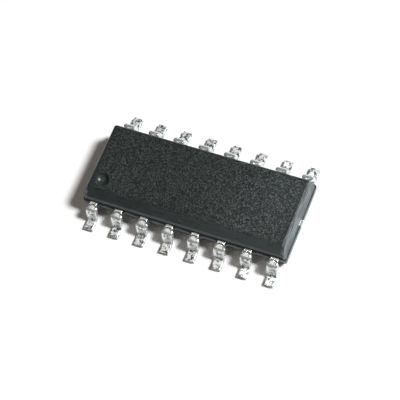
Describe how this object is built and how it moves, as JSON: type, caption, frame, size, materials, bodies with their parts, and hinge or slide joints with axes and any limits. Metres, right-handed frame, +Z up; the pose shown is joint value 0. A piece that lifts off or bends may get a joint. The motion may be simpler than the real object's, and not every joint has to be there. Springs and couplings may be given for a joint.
{
  "type": "soic chip",
  "caption": "Small-outline surface-mount chip: black moulded body with a beveled edge, an index dimple and two rows of gull-wing leads.",
  "frame": {"origin": "on the seating plane that the feet rest on, under the middle of the body", "axes": "+X along the rows of leads, +Y from the beveled side with lead 1 to the plain side, +Z up"},
  "size_m": [0.01, 0.006, 0.0016],
  "materials": {
    "mould_compound": "fine spark-eroded texture",
    "lead_tin": "bright tin plating",
    "frame_copper": "copper alloy strip",
    "die_adhesive": "silver-filled epoxy",
    "silicon": "polished",
    "wire_gold": "gold wire"
  },
  "bodies": {
    "root": {"moulded_body": "mould_compound", "lead_01": "lead_tin", "lead_02": "lead_tin", "lead_03": "lead_tin", "lead_04": "lead_tin", "lead_05": "lead_tin", "lead_06": "lead_tin", "lead_07": "lead_tin", "lead_08": "lead_tin", "lead_09": "lead_tin", "lead_10": "lead_tin", "lead_11": "lead_tin", "lead_12": "lead_tin", "lead_13": "lead_tin", "lead_14": "lead_tin", "lead_15": "lead_tin", "lead_16": "lead_tin", "die_paddle": "frame_copper", "die_attach": "die_adhesive", "silicon_die": "silicon", "bond_wire_01": "wire_gold", "bond_wire_02": "wire_gold", "bond_wire_03": "wire_gold", "bond_wire_04": "wire_gold", "bond_wire_05": "wire_gold", "bond_wire_06": "wire_gold", "bond_wire_07": "wire_gold", "bond_wire_08": "wire_gold", "bond_wire_09": "wire_gold", "bond_wire_10": "wire_gold", "bond_wire_11": "wire_gold", "bond_wire_12": "wire_gold", "bond_wire_13": "wire_gold", "bond_wire_14": "wire_gold", "bond_wire_15": "wire_gold", "bond_wire_16": "wire_gold"}
  },
  "joints": []
}
